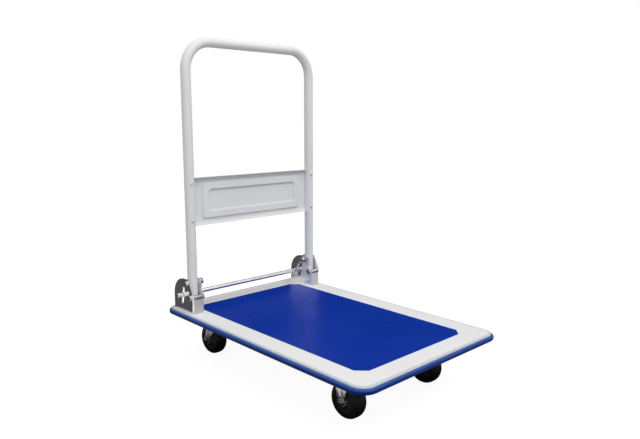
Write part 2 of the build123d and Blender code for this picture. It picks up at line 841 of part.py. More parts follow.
with BuildPart() as bar_clip:
    bar_along_y(bar_x, bar_z, clip_start_y, clip_end_y, bar_radius + clip_rim)
    bar_along_y(
        bar_x, bar_z, clip_start_y, clip_end_y, bar_radius - clip_groove, mode=Mode.SUBTRACT
    )
    with Locations((bar_x - bar_diameter, (clip_start_y + clip_end_y) / 2, bar_z)):
        Box(2 * bar_diameter, clip_thickness, bar_diameter - 2 * clip_groove, mode=Mode.SUBTRACT)
save_both(bar_clip.part, "bar_clips")

# Torsion spring: a coil round the bush, one leg behind and under the bar, one in the inner cheek
def coil_point(angle, y):
    """A point on the coil's centreline."""
    x = pivot_x + spring_coil_radius * cos(radians(angle))
    return (x, y, pivot_z + spring_coil_radius * sin(radians(angle)))


coil_plane = Plane(
    (pivot_x, coil_inner_y, pivot_z),
    x_dir=(cos(radians(bar_leg_angle)), 0, sin(radians(bar_leg_angle))),
    z_dir=(0, 1, 0),
)
coil = coil_plane * Helix(spring_pitch, spring_turns * spring_pitch, spring_coil_radius)
with BuildPart() as bar_spring:
    with BuildLine() as bar_leg:
        FilletPolyline(
            (bar_x + spring_hook_reach / 2, bar_leg_y, bar_z - spring_hook_reach),
            (bar_x - spring_hook_reach, bar_leg_y, bar_z - spring_hook_reach),
            (spring_elbow_x, bar_leg_y, spring_elbow_z),
            coil_point(bar_leg_angle, coil_inner_y),
            radius=spring_bend,
        )
    with BuildLine() as anchor_leg:
        FilletPolyline(
            coil_point(anchor_leg_angle, coil_outer_y),
            (spring_anchor_x, anchor_leg_y, spring_anchor_z),
            (spring_anchor_x, cheek_inner_y + bracket_sheet / 2, spring_anchor_z),
            radius=spring_anchor_bend,
        )
    wire = Wire(bar_leg.edges() + coil.edges() + anchor_leg.edges())
    with BuildSketch(Plane(wire @ 0, z_dir=wire % 0)):
        Circle(wire_radius)
    sweep(path=wire, is_frenet=True)
save_both(bar_spring.part, "bar_springs")


def axle_bolt(x):
    """A castor's axle: hexagon head on the inner cheek, thread past the nut on the outer one."""
    flats = axle_diameter * hex_flats
    outer_y = castor_y + fork_half_width
    inner_y = castor_y - fork_half_width
    thread_end_y = outer_y + axle_nut_height + axle_thread_tail
    with BuildPart() as axle:
        bar_along_y(x, axle_z, inner_y, thread_end_y, axle_diameter / 2)
        hexagon_along_y(x, axle_z, inner_y, inner_y - axle_diameter * head_rise, flats)
    return axle.part


def axle_nut(x):
    """The nut on the outer cheek."""
    outer_y = castor_y + fork_half_width
    nut_end_y = outer_y + axle_nut_height
    with BuildPart() as nut:
        hexagon_along_y(x, axle_z, outer_y, nut_end_y, axle_diameter * hex_flats)
        bar_along_y(x, axle_z, outer_y, nut_end_y, axle_diameter / 2, mode=Mode.SUBTRACT)
    return nut.part


def axle_sleeve(x):
    """The sleeve that the bolt clamps between the cheeks, and that the hub turns on."""
    start_y = castor_y - fork_half_gap
    end_y = castor_y + fork_half_gap
    with BuildPart() as sleeve:
        bar_along_y(x, axle_z, start_y, end_y, sleeve_diameter / 2)
        bar_along_y(
            x,
            axle_z,
            start_y,
            end_y,
            axle_diameter / 2 + running_clearance,
            mode=Mode.SUBTRACT,
        )
    return sleeve.part


def wheel_plane(x):
    """The plane through a left wheel's axle, with its own x along Y and y along Z."""
    return Plane((x, castor_y, axle_z), x_dir=(0, 1, 0), z_dir=(1, 0, 0))


def wheel_hub(x):
    """Rim, web and boss, with the bore for the axle sleeve."""
    bore = sleeve_diameter / 2 + running_clearance
    boss = hub_boss_diameter / 2
    with BuildPart() as hub:
        with BuildSketch(wheel_plane(x)):
            with Locations((0, rim_radius)):
                Rectangle(rim_width, rim_wall, align=(Align.CENTER, Align.MAX))
            with Locations((0, bore)):
                Rectangle(hub_web, rim_radius - bore, align=(Align.CENTER, Align.MIN))
                Rectangle(hub_width, boss - bore, align=(Align.CENTER, Align.MIN))
        revolve(axis=Axis((x, castor_y, axle_z), (0, 1, 0)))
    return hub.part


def wheel_tyre(x):
    """A solid tyre with round shoulders, shrunk on the rim."""
    shoulder = min(tyre_shoulder, 0.9 * tyre_thickness, 0.45 * tyre_width)
    with BuildPart() as tyre:
        with BuildSketch(wheel_plane(x)) as section:
            with Locations((0, rim_radius)):
                Rectangle(tyre_width, tyre_thickness, align=(Align.CENTER, Align.MIN))
            fillet(section.vertices().group_by(Axis.Y)[-1], radius=shoulder)
        revolve(axis=Axis((x, castor_y, axle_z), (0, 1, 0)))
    return tyre.part


def fork_cheeks(top_x, top_z, axle_x):
    """The cheeks of a fork in the part being built, each with a tapered dish pressed in it."""
    reach = hypot(top_x - axle_x, top_z - axle_z)
    tip_x = axle_x + (top_x - axle_x) * fork_dish_above_axle / reach
    tip_z = axle_z + (top_z - axle_z) * fork_dish_above_axle / reach
    dish_half = fork_shoulder_width / 2 - fork_dish_margin
    tip_half = fork_toe_radius - fork_dish_margin
    for side in (1, -1):
        cheek_face = Plane(
            (0, castor_y + side * fork_half_width, 0), x_dir=(-side, 0, 0), z_dir=(0, side, 0)
        )
        with BuildSketch(cheek_face) as outline:
            with Locations((-side * axle_x, axle_z)):
                Circle(fork_toe_radius)
            with Locations((-side * top_x, top_z)):
                Rectangle(fork_shoulder_width, fork_sheet, align=(Align.CENTER, Align.MAX))
            make_hull()
        extrude(outline.sketch, amount=-fork_sheet)
        with BuildSketch(cheek_face) as dish:
            with BuildLine():
                Polyline(
                    (-side * top_x - dish_half, top_z - fork_dish_margin),
                    (-side * top_x + dish_half, top_z - fork_dish_margin),
                    (-side * tip_x + tip_half, tip_z),
                    (-side * tip_x - tip_half, tip_z),
                    close=True,
                )
            make_face()
            fillet(dish.vertices(), radius=fork_dish_round)
        extrude(dish.sketch, amount=-fork_dish_depth, taper=45, mode=Mode.SUBTRACT)


# Front castors: plate and cheeks pressed from one sheet
with BuildPart() as front_fork:
    with BuildSketch(Plane.XY.offset(castor_height)):
        with Locations((front_axle_x, castor_y)):
            RectangleRounded(castor_plate_length, castor_plate_width, castor_plate_corner)
    extrude(amount=-castor_plate_sheet)
    fork_cheeks(front_axle_x, castor_height - castor_plate_sheet / 2, front_axle_x)
    bar_along_y(
        front_axle_x,
        axle_z,
        castor_y - fork_half_width,
        castor_y + fork_half_width,
        axle_diameter / 2 + bolt_hole_clearance,
        mode=Mode.SUBTRACT,
    )
    rods_along_z(
        castor_bolt_points(front_axle_x)[:4],
        castor_height,
        castor_plate_under,
        castor_bolt_diameter / 2 + bolt_hole_clearance,
        mode=Mode.SUBTRACT,
    )
save_pair(front_fork.part, "front_fork")
save_both(axle_bolt(front_axle_x), "front_axles")
save_both(axle_nut(front_axle_x), "front_axle_nuts")
save_both(axle_sleeve(front_axle_x), "front_axle_sleeves")
save_pair(wheel_hub(front_axle_x), "front_hub")
save_pair(wheel_tyre(front_axle_x), "front_tyre")

# Rear castors: a fixed plate and race, and a fork that turns on the kingpin
with BuildPart() as rear_plate:
    with BuildSketch(Plane.XY.offset(castor_height)):
        with Locations((rear_swivel_x, castor_y)):
            RectangleRounded(castor_plate_length, castor_plate_width, castor_plate_corner)
            Circle(kingpin_diameter / 2, mode=Mode.SUBTRACT)
    extrude(amount=-castor_plate_sheet)
    rods_along_z(
        castor_bolt_points(rear_swivel_x)[:4],
        castor_height,
        castor_plate_under,
        castor_bolt_diameter / 2 + bolt_hole_clearance,
        mode=Mode.SUBTRACT,
    )
save_pair(rear_plate.part, "rear_castor_plate")

with BuildPart() as swivel_race:
    with BuildSketch(Plane.XY.offset(castor_plate_under)):
        with Locations((rear_swivel_x, castor_y)):
            Circle(race_diameter / 2)
            Circle(kingpin_diameter / 2, mode=Mode.SUBTRACT)
    extrude(amount=-race_height)
save_both(swivel_race.part, "swivel_races")

with BuildPart() as kingpin:
    kingpin_head_top = fork_bridge_under - swivel_gap
    swivel_centre = [(rear_swivel_x, castor_y)]
    rods_along_z(swivel_centre, kingpin_head_top, castor_height, kingpin_diameter / 2)
    rods_along_z(
        swivel_centre,
        kingpin_head_top,
        kingpin_head_top - kingpin_head_height,
        kingpin_head_diameter / 2,
    )
save_both(kingpin.part, "kingpins")

with BuildPart() as rear_fork:
    cup_bore = race_diameter / 2 + race_cup_clearance
    cup_radius = cup_bore + race_cup_wall
    with BuildSketch(Plane.XY.offset(fork_bridge_under)):
        with Locations((rear_swivel_x, castor_y)):
            Rectangle(fork_shoulder_width, 2 * fork_half_width)
            Circle(cup_radius)
    extrude(amount=fork_sheet)
    with BuildSketch(Plane.XY.offset(fork_bridge_top)):
        with Locations((rear_swivel_x, castor_y)):
            Circle(cup_radius)
            Circle(cup_bore, mode=Mode.SUBTRACT)
    extrude(amount=race_cup_height)
    fork_cheeks(rear_swivel_x, fork_bridge_top, rear_axle_x)
    rods_along_z(
        [(rear_swivel_x, castor_y)],
        fork_bridge_under,
        fork_bridge_top,
        kingpin_diameter / 2 + running_clearance,
        mode=Mode.SUBTRACT,
    )
    bar_along_y(
        rear_axle_x,
        axle_z,
        castor_y - fork_half_width,
        castor_y + fork_half_width,
        axle_diameter / 2 + bolt_hole_clearance,
        mode=Mode.SUBTRACT,
    )
save_pair(rear_fork.part, "rear_fork")
save_pair(axle_bolt(rear_axle_x), "rear_axle")
save_pair(axle_nut(rear_axle_x), "rear_axle_nut")
save_pair(axle_sleeve(rear_axle_x), "rear_axle_sleeve")
save_pair(wheel_hub(rear_axle_x), "rear_hub")
save_pair(wheel_tyre(rear_axle_x), "rear_tyre")

# Castor bolts: head under the plate, nut inside the cross-member
castor_bolts_all = castor_bolt_points(front_axle_x) + castor_bolt_points(rear_swivel_x)
castor_flats = castor_bolt_diameter * hex_flats
castor_nut_under = castor_height + member_sheet
castor_nut_top = castor_nut_under + castor_bolt_diameter * nut_rise
with BuildPart() as castor_bolts:
    hexagon_along_z(
        castor_bolts_all,
        castor_plate_under,
        castor_plate_under - castor_bolt_diameter * head_rise,
        castor_flats,
    )
    rods_along_z(
        castor_bolts_all,
        castor_plate_under,
        castor_nut_top + castor_bolt_diameter * thread_tail,
        castor_bolt_diameter / 2,
    )
save(castor_bolts.part, "castor_bolts")

with BuildPart() as castor_nuts:
    hexagon_along_z(castor_bolts_all, castor_nut_under, castor_nut_top, castor_flats)
    rods_along_z(
        castor_bolts_all,
        castor_nut_under,
        castor_nut_top,
        castor_bolt_diameter / 2,
        mode=Mode.SUBTRACT,
    )
save(castor_nuts.part, "castor_nuts")
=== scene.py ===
import json
from math import acos, atan2, cos, hypot, pi, radians, sin

import bmesh
import bpy
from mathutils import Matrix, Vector


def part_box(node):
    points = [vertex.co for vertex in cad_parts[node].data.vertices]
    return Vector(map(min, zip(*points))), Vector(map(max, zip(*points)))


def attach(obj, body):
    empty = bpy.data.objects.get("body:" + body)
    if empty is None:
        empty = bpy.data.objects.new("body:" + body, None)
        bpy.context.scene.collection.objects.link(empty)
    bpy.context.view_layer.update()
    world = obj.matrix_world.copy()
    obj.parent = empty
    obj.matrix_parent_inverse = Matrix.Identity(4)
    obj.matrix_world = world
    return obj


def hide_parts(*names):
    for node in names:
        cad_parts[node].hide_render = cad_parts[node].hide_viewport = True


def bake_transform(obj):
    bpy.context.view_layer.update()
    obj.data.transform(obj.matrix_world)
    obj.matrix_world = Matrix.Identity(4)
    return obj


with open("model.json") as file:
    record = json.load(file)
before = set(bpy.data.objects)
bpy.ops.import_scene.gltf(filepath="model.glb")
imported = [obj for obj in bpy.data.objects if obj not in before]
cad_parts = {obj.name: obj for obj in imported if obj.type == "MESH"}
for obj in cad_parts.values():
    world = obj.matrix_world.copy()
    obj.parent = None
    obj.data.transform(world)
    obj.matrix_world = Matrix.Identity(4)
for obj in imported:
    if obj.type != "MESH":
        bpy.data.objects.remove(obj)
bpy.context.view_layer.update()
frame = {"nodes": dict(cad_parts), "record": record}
nodes = frame["nodes"]

MM = 0.001


def middle(name):
    """The middle of a node's box."""
    low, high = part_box(name)
    return (Vector(low) + Vector(high)) / 2


FRONT_AXLE = middle("front_hub_left")
REAR_AXLE = middle("rear_hub_left")


# Materials

# A noise texture's values lie mostly between these
NOISE_LOW, NOISE_HIGH = 0.3, 0.7
# Where a Mix node of each kind has its two inputs and its result
MIX_SOCKETS = {"FLOAT": (2, 3, 0), "VECTOR": (4, 5, 1), "RGBA": (6, 7, 2)}
BEVEL_SAMPLES = 6
# Rolled zinc: how its lines are drawn out, how dark its clouds are and how its roughness varies
ROLLING_STRETCH = (1, 1, 22)
CLOUD_SHADE = 0.8
LINE_SMOOTH, LINE_ROUGH = 0.8, 1.3

# The pan's corner radius, and how wide its band of painted shade along the rim is
PAN_CORNER = 31 * MM
RIM_SHADE_BAND = 6 * MM
# How far the panel's shading is turned to its front, and the fade to its back
PANEL_SHARE = 0.6
FRONT_FADE = 0.05
# The bumper's painted shade below fades into its painted highlight on top between these, from its
# bottom and its top
BUMPER_LIGHT_FADE_START = 7.2 * MM
BUMPER_LIGHT_FADE_END = 0.6 * MM

# Places that part a hinge bracket's faces: across for the cheeks, along for the wall, up for the pad
OUTER_CHEEK_Y = 214.0 * MM
SUNK_FACE_Y = 186.05 * MM
PAD_FACE_Y = 185.35 * MM
WALL_BACK_X = -245.1 * MM
PAD_FOOT_Z = 155.1 * MM
# A face belongs to the front wall if it faces forward by more than this
WALL_FACING = 0.75
# How metallic and how rough those faces are
PLATE_METAL, WALL_METAL, PAD_METAL = 0.85, 0.35, 0.25
PAD_ROUGH, FOOT_ROUGH = 0.5, 0.29

# The wheel's grey boss, the ring on its tyre's side and the tyre's mould line
BOSS_RADIUS = 13.1 * MM
TYRE_RING = 33.5 * MM
MOULD_LINE_Y = abs(FRONT_AXLE.y)
MOULD_HEIGHT = 0.4 * MM
BOSS_METAL = 0.7


def srgb(red, green, blue):
    """A shader colour from the 0 to 255 values it shows as."""
    def linear(value):
        value /= 255
        return value / 12.92 if value <= 0.04045 else ((value + 0.055) / 1.055) ** 2.4

    return (linear(red), linear(green), linear(blue), 1.0)


def grey(level):
    """A grey shader colour from its linear level."""
    return (level, level, level, 1.0)


class Look:
    """A Principled material with helpers for the nodes that feed it."""

    def __init__(self, name, **sockets):
        self.material = bpy.data.materials.new(name)
        self.material.use_nodes = True
        self.tree = self.material.node_tree
        self.shader = self.tree.nodes["Principled BSDF"]
        self.place = self.add("ShaderNodeTexCoord").outputs["Object"]
        self.set(**sockets)

    def add(self, kind, **settings):
        """A node of the material, with some of its settings."""
        node = self.tree.nodes.new(kind)
        for key, value in settings.items():
            setattr(node, key, value)
        return node

    def feed(self, socket, value):
        """Links a socket to another one, or sets it."""
        if isinstance(value, bpy.types.NodeSocket):
            self.tree.links.new(value, socket)
        else:
            socket.default_value = value

    def set(self, **sockets):
        """Feeds sockets of the shader, named with _ for a space."""
        for socket, value in sockets.items():
            self.feed(self.shader.inputs[socket.replace("_", " ")], value)

    def stretched(self, scale):
        """Places on the piece, scaled by axis."""
        mapping = self.add("ShaderNodeMapping")
        self.feed(mapping.inputs["Vector"], self.place)
        self.feed(mapping.inputs["Scale"], scale)
        return mapping.outputs["Vector"]

    def noise(self, scale, detail=3.0, place=None):
        """Soft noise over the piece."""
        texture = self.add("ShaderNodeTexNoise")
        self.feed(texture.inputs["Vector"], place or self.place)
        self.feed(texture.inputs["Scale"], scale)
        self.feed(texture.inputs["Detail"], detail)
        return texture.outputs["Fac"]

    def cells(self, scale):
        """Soft round cells over the piece."""
        texture = self.add("ShaderNodeTexVoronoi", feature="SMOOTH_F1")
        self.feed(texture.inputs["Vector"], self.place)
        self.feed(texture.inputs["Scale"], scale)
        return texture.outputs["Distance"]

    def spread(self, value, low, high, start=NOISE_LOW, end=NOISE_HIGH):
        """A value from start to end, mapped to low to high and held there outside it."""
        node = self.add("ShaderNodeMapRange")
        self.feed(node.inputs["Value"], value)
        self.feed(node.inputs["From Min"], start)
        self.feed(node.inputs["From Max"], end)
        self.feed(node.inputs["To Min"], low)
        self.feed(node.inputs["To Max"], high)
        return node.outputs["Result"]

    def above(self, value, limit, fade):
        """Nought below a limit and one above it, with a fade to each side."""
        return self.spread(value, 0, 1, limit - fade, limit + fade)

    def below(self, value, limit, fade):
        """One below a limit and nought above it, with a fade to each side."""
        return self.spread(value, 1, 0, limit - fade, limit + fade)

    def patchy(self, scale, low, high):
        """A number that drifts between two over the piece."""
        return self.spread(self.noise(scale), low, high)

    def clouded(self, first, second, scale, detail=3.0):
        """A colour that drifts between two over the piece."""
        return self.mix(self.spread(self.noise(scale, detail), 0, 1), first, second)

    def math(self, operation, *values):
        """The result of a Math node."""
        node = self.add("ShaderNodeMath", operation=operation)
        for socket, value in zip(node.inputs, values):
            self.feed(socket, value)
        return node.outputs["Value"]

    def length(self, first, second):
        """The length of a line from its two parts."""
        squares = [self.math("MULTIPLY", part, part) for part in (first, second)]
        return self.math("SQRT", self.math("ADD", *squares))

    def part(self, vector, letter):
        """One part of a vector."""
        split = self.add("ShaderNodeSeparateXYZ")
        self.feed(split.inputs["Vector"], vector)
        return split.outputs[letter]

    def axis(self, letter):
        """One coordinate of the place on the piece, in metres."""
        return self.part(self.place, letter)

    def facing(self, letter):
        """One part of the direction that the surface faces."""
        return self.part(self.add("ShaderNodeTexCoord").outputs["Normal"], letter)

    def from_axle(self):
        """How far a place on a wheel is from its axle."""
        along = self.axis("X")
        axle = self.spread(along, REAR_AXLE.x, FRONT_AXLE.x, -1 * MM, 1 * MM)
        across = self.math("SUBTRACT", along, axle)
        up = self.math("SUBTRACT", self.axis("Z"), FRONT_AXLE.z)
        return self.length(across, up)

    def ridge(self, value, place, half):
        """One where a value is at a place, and nought from half away."""
        away = self.math("ABSOLUTE", self.math("SUBTRACT", value, place))
        return self.spread(away, 1, 0, 0, half)

    def near_edge(self, node, corner, band):
        """One along the rim of a round-cornered plate and nought inside a band."""
        low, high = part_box(node)
        past = []
        for letter, half in (("X", (high[0] - low[0]) / 2), ("Y", (high[1] - low[1]) / 2)):
            away = self.math("ABSOLUTE", self.axis(letter))
            past.append(self.math("MAXIMUM", self.math("SUBTRACT", away, half - corner), 0.0))
        return self.above(self.length(*past), corner - band, fade=1 * MM)

    def mixed(self, kind, factor, first, second):
        """The result of a Mix node, by a factor from 0 to 1."""
        node = self.add("ShaderNodeMix", data_type=kind)
        first_input, second_input, result = MIX_SOCKETS[kind]
        self.feed(node.inputs[0], factor)
        self.feed(node.inputs[first_input], first)
        self.feed(node.inputs[second_input], second)
        return node.outputs[result]

    def mix(self, factor, first, second):
        """A colour between two."""
        return self.mixed("RGBA", factor, first, second)

    def between(self, factor, first, second):
        """A number between two."""
        return self.mixed("FLOAT", factor, first, second)

    def bump(self, height, depth, strength=1.0, normal=None):
        """A surface raised by a height from 0 to 1 times a depth in metres."""
        node = self.add("ShaderNodeBump")
        self.feed(node.inputs["Strength"], strength)
        self.feed(node.inputs["Distance"], depth)
        self.feed(node.inputs["Height"], height)
        if normal:
            self.feed(node.inputs["Normal"], normal)
        return node.outputs["Normal"]

    def soft_edges(self, radius):
        """Edges that look rounded."""
        node = self.add("ShaderNodeBevel", samples=BEVEL_SAMPLES)
        self.feed(node.inputs["Radius"], radius)
        return node.outputs["Normal"]

    def shallow(self, normal, share):
        """A front face's normal, turned by a share to the piece's X, as on a shallow pressing."""
        front = self.add(
            "ShaderNodeVectorTransform",
            vector_type="NORMAL",
            convert_from="OBJECT",
            convert_to="WORLD",
        )
        self.feed(front.inputs["Vector"], (1, 0, 0))
        share_in_front = self.spread(self.facing("X"), 0, share, -FRONT_FADE, FRONT_FADE)
        turned = self.mixed("VECTOR", share_in_front, normal, front.outputs["Vector"])
        unit = self.add("ShaderNodeVectorMath", operation="NORMALIZE")
        self.feed(unit.inputs[0], turned)
        return unit.outputs["Vector"]

    def rolled(self, tone):
        """Fine rolling lines, raised on the piece, and the clouded colour of its sheet metal."""
        lines = self.noise(scale=60, detail=3, place=self.stretched(ROLLING_STRETCH))
        edges = self.soft_edges(0.5 * MM)
        self.set(Normal=self.bump(lines, depth=0.02 * MM, strength=0.15, normal=edges))
        dark = tuple(CLOUD_SHADE * level for level in tone[:3]) + (1.0,)
        return lines, self.clouded(dark, tone, scale=55, detail=4)


def paint_look(name, rim=None, shallow=None):
    """Off-white paint with a slight orange peel and, where a rim tone is given, a painted shade
    along the deck's rim.
    """
    look = Look(name, Specular_IOR_Level=0.16)
    paint = look.clouded(srgb(226, 226, 226), srgb(231, 231, 229), scale=5, detail=2)
    # A greyer, faintly blue painted shade along the deck's rim, where its edge turns down
    if rim:
        paint = look.mix(look.near_edge("deck_pan", PAN_CORNER, RIM_SHADE_BAND), paint, rim)
    face = look.soft_edges(0.6 * MM)
    if shallow:
        face = look.shallow(face, shallow)
    peel = look.noise(scale=850, detail=1)
    look.set(
        Base_Color=paint,
        Roughness=look.patchy(scale=60, low=0.44, high=0.54),
        Normal=look.bump(peel, depth=0.06 * MM, strength=0.5, normal=face),
    )
    return look.material


def mat_look():
    """Smooth blue sheet with a fine grain."""
    look = Look("blue_mat", Specular_IOR_Level=0.14)
    look.set(
        Base_Color=look.clouded(srgb(1, 44, 147), srgb(3, 49, 153), scale=7, detail=2),
        Roughness=look.patchy(scale=40, low=0.34, high=0.4),
        Normal=look.bump(look.cells(scale=420), depth=0.05 * MM, strength=0.12),
    )
    return look.material


def bumper_look():
    """Soft blue plastic, painted lighter along its top as a highlight and darker below as shade."""
    look = Look("blue_bumper", Specular_IOR_Level=0.05)
    low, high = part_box("edge_bumper")
    # Painted shade on the lower part and a painted highlight along the top, blended by height
    below = look.clouded(srgb(0, 32, 104), srgb(3, 37, 112), scale=20)
    above = look.clouded(srgb(46, 82, 150), srgb(52, 89, 157), scale=20)
    start, end = low[2] + BUMPER_LIGHT_FADE_START, high[2] - BUMPER_LIGHT_FADE_END
    height = look.spread(look.axis("Z"), 0, 1, start, end)
    grain = look.noise(scale=500, detail=2)
    look.set(
        Base_Color=look.mix(height, below, above),
        Roughness=look.patchy(scale=90, low=0.28, high=0.38),
        Normal=look.bump(grain, depth=0.05 * MM, strength=0.4),
    )
    return look.material


def zinc(name, tone, rough):
    """Bright zinc plate: faint clouding and fine rolling lines."""
    look = Look(name, Metallic=1.0)
    lines, plate = look.rolled(tone)
    look.set(Base_Color=plate, Roughness=look.spread(lines, rough * LINE_SMOOTH, rough * LINE_ROUGH))
    return look.material


def bracket_look():
    """Zinc with polished cheeks, a duller front wall and, inside, a satin pad over a rougher foot
    whose paler tone is a painted reflection of the white border before it.
    """
    look = Look("bracket_zinc")
    lines, plate = look.rolled(srgb(234, 234, 236))
    dull = look.mix(lines, srgb(176, 172, 172), srgb(206, 203, 203))
    wall = look.above(look.facing("X"), WALL_FACING, fade=0.15)
    behind_wall = look.below(look.axis("X"), WALL_BACK_X, fade=0.5 * MM)
    away = look.math("ABSOLUTE", look.axis("Y"))
    outside = look.above(away, OUTER_CHEEK_Y, fade=0.2 * MM)
    sunk = look.math("MULTIPLY", look.math("COMPARE", away, SUNK_FACE_Y, 0.4 * MM), behind_wall)
    inside = look.math("MULTIPLY", look.below(away, PAD_FACE_Y, fade=0.15 * MM), behind_wall)
    pad = look.math("MULTIPLY", inside, look.above(look.axis("Z"), PAD_FOOT_Z, fade=0.5 * MM))
    foot = look.math("SUBTRACT", inside, pad)
    polished = look.math("MAXIMUM", outside, sunk)
    satin = look.between(pad, look.spread(lines, low=0.42, high=0.56), PAD_ROUGH)
    unpolished = look.between(foot, satin, FOOT_ROUGH)
    mirror = look.spread(lines, low=0.05, high=0.1)
    metal = look.between(polished, look.between(wall, PLATE_METAL, WALL_METAL), 1.0)
    # The foot's near-white tone is a painted reflection of the white deck border in front of it
    look.set(
        Base_Color=look.mix(foot, look.mix(wall, plate, dull), srgb(250, 250, 250)),
        Metallic=look.between(pad, metal, PAD_METAL),
        Roughness=look.between(polished, unpolished, mirror),
    )
    return look.material


def spring_look():
    """Dark drawn wire."""
    look = Look("spring_steel", Metallic=1.0)
    look.set(
        Base_Color=look.mix(look.noise(scale=400), srgb(120, 120, 124), srgb(160, 160, 165)),
        Roughness=look.patchy(scale=700, low=0.22, high=0.36),
    )
    return look.material


def hub_look():
    """A black moulded rim and web round a grey bearing boss."""
    look = Look("grey_hub")
    boss = look.below(look.from_axle(), BOSS_RADIUS, fade=0.3 * MM)
    bearing = look.clouded(srgb(128, 129, 132), srgb(152, 153, 156), scale=120)
    black = look.clouded(srgb(22, 22, 23), srgb(30, 30, 31), scale=90)
    look.set(
        Base_Color=look.mix(boss, black, bearing),
        Metallic=look.between(boss, 0.0, BOSS_METAL),
        Roughness=look.patchy(scale=300, low=0.34, high=0.46),
        Normal=look.soft_edges(0.8 * MM),
    )
    return look.material


def tyre_look():
    """Black rubber with the mould's parting line round the tread and a ring on each side."""
    look = Look("black_tyre", Specular_IOR_Level=0.12)
    parting = look.ridge(look.math("ABSOLUTE", look.axis("Y")), MOULD_LINE_Y, half=0.5 * MM)
    ring = look.ridge(look.from_axle(), TYRE_RING, half=0.7 * MM)
    moulded = look.bump(look.math("MAXIMUM", parting, ring), MOULD_HEIGHT)
    grain = look.noise(scale=1300, detail=2)
    look.set(
        Base_Color=look.clouded(srgb(14, 14, 15), srgb(19, 19, 20), scale=45),
        Roughness=look.patchy(scale=150, low=0.42, high=0.6),
        Normal=look.bump(grain, depth=0.08 * MM, strength=0.4, normal=moulded),
    )
    return look.material


looks = {
    "off_white_paint": paint_look("off_white_paint"),
    "blue_mat": mat_look(),
    "blue_bumper": bumper_look(),
    "zinc_plate": zinc("zinc_plate", srgb(200, 201, 204), rough=0.2),
    "bright_fasteners": zinc("bright_fasteners", srgb(200, 200, 204), rough=0.13),
    "plated_bar": zinc("plated_bar", srgb(226, 226, 229), rough=0.2),
    "spring_steel": spring_look(),
    "grey_hub": hub_look(),
    "black_tyre": tyre_look(),
}
# The pan's rim tone is a painted shade, greyer and faintly blue
pan_paint = paint_look("pan_paint", rim=srgb(198, 201, 208))
panel_paint = paint_look("panel_paint", shallow=PANEL_SHARE)
# Lit and shaded copies of zinc: the front forks' paler tone is painted light, the rear forks' darker
# tone is painted shade
lit_fork_zinc = zinc("lit_fork_zinc", srgb(228, 228, 230), rough=0.17)
shaded_fork_zinc = zinc("shaded_fork_zinc", srgb(130, 129, 127), rough=0.2)
bracket_zinc = bracket_look()
# The axle nuts' darker zinc is painted shade
shaded_nut_zinc = zinc("shaded_nut_zinc", srgb(112, 112, 116), rough=0.25)


def dress(name, material):
    """Gives a CAD node one material."""
    mesh = nodes[name].data
    mesh.materials.clear()
    mesh.materials.append(material)


for entry in frame["record"]["subparts"]:
    dress(entry["node"], looks[entry["material_slot"]])
dress("deck_pan", pan_paint)
dress("handle_panel", panel_paint)
for side in ("left", "right"):
    dress(f"hinge_bracket_{side}", bracket_zinc)
    dress(f"front_fork_{side}", lit_fork_zinc)
    dress(f"rear_fork_{side}", shaded_fork_zinc)
# Axle nuts get the darker zinc as painted shade
for name in ("front_axle_nuts", "rear_axle_nut_left", "rear_axle_nut_right"):
    dress(name, shaded_nut_zinc)


# Torsion springs, drawn as bent wire so that the long leg follows the release bar

PIVOT = Vector((-0.2666, 0, 0.2106))
BAR = Vector((-0.2886, 0, 0.1766))
WIRE = 0.9 * MM
WIRE_SIDES = 14
COIL_RADIUS = 6.8 * MM
COIL_INNER_Y, COIL_OUTER_Y = 178.50 * MM, 183.04 * MM
COIL_STEPS = 72
WHOLE_TURNS = 2
# The long leg, which hooks behind and under the bar
HOOK = 6.7 * MM
HOOK_BEND = 3 * MM
BAR_LEG_Y = 176.69 * MM
BAR_LEG_STEPS = 8
# The short leg, which turns into a hole in the inner cheek
ANCHOR = PIVOT + Vector((13.6 * MM, 0, -13.4 * MM))
ANCHOR_BEND = 2 * MM
ANCHOR_LEG_Y, ANCHOR_END_Y = 183.85 * MM, 186.5 * MM
# The smallest slope of a bend that is divided by
LEAST = 1e-6


def rounded(points, radius, steps=6):
    """A line through points with its inner corners turned on arcs."""
    line = [points[0]]
    for before, corner, after in zip(points, points[1:], points[2:]):
        back = (before - corner).normalized()
        ahead = (after - corner).normalized()
        half = back.angle(ahead) / 2
        reach = radius / max(sin(half) / cos(half), LEAST)
        centre = corner + (back + ahead).normalized() * (radius / sin(half))
        first = corner + back * reach - centre
        last = corner + ahead * reach - centre
        for step in range(steps + 1):
            turned = first.normalized().slerp(last.normalized(), step / steps)
            line.append(centre + radius * turned)
    line.append(points[-1])
    return line


def add_wire(work, line, radii, sides):
    """A round wire along a line, of a radius at each point, closed at both ends."""
    rings = []
    side = None
    for index, point in enumerate(line):
        ahead = line[min(index + 1, len(line) - 1)] - line[max(index - 1, 0)]
        ahead.normalize()
        if side is None:
            side = ahead.orthogonal().normalized()
        side = (side - ahead * side.dot(ahead)).normalized()
        other = ahead.cross(side)
        ring = []
        for step in range(sides):
            turn = 2 * pi * step / sides
            out = cos(turn) * side + sin(turn) * other
            ring.append(work.verts.new(point + radii[index] * out))
        rings.append(ring)
    for first, second in zip(rings, rings[1:]):
        for step in range(sides):
            after = (step + 1) % sides
            work.faces.new((first[step], first[after], second[after], second[step]))
    work.faces.new(list(reversed(rings[0])))
    work.faces.new(rings[-1])


def finished(work, name, slot):
    """Makes a piece of the mesh in work, with one of the record's finishes."""
    bmesh.ops.recalc_face_normals(work, faces=work.faces)
    for face in work.faces:
        face.smooth = len(face.verts) == 4
    mesh = bpy.data.meshes.new(name)
    work.to_mesh(mesh)
    work.free()
    mesh.materials.append(looks[slot])
    piece = bpy.data.objects.new(name, mesh)
    bpy.context.scene.collection.objects.link(piece)
    return piece


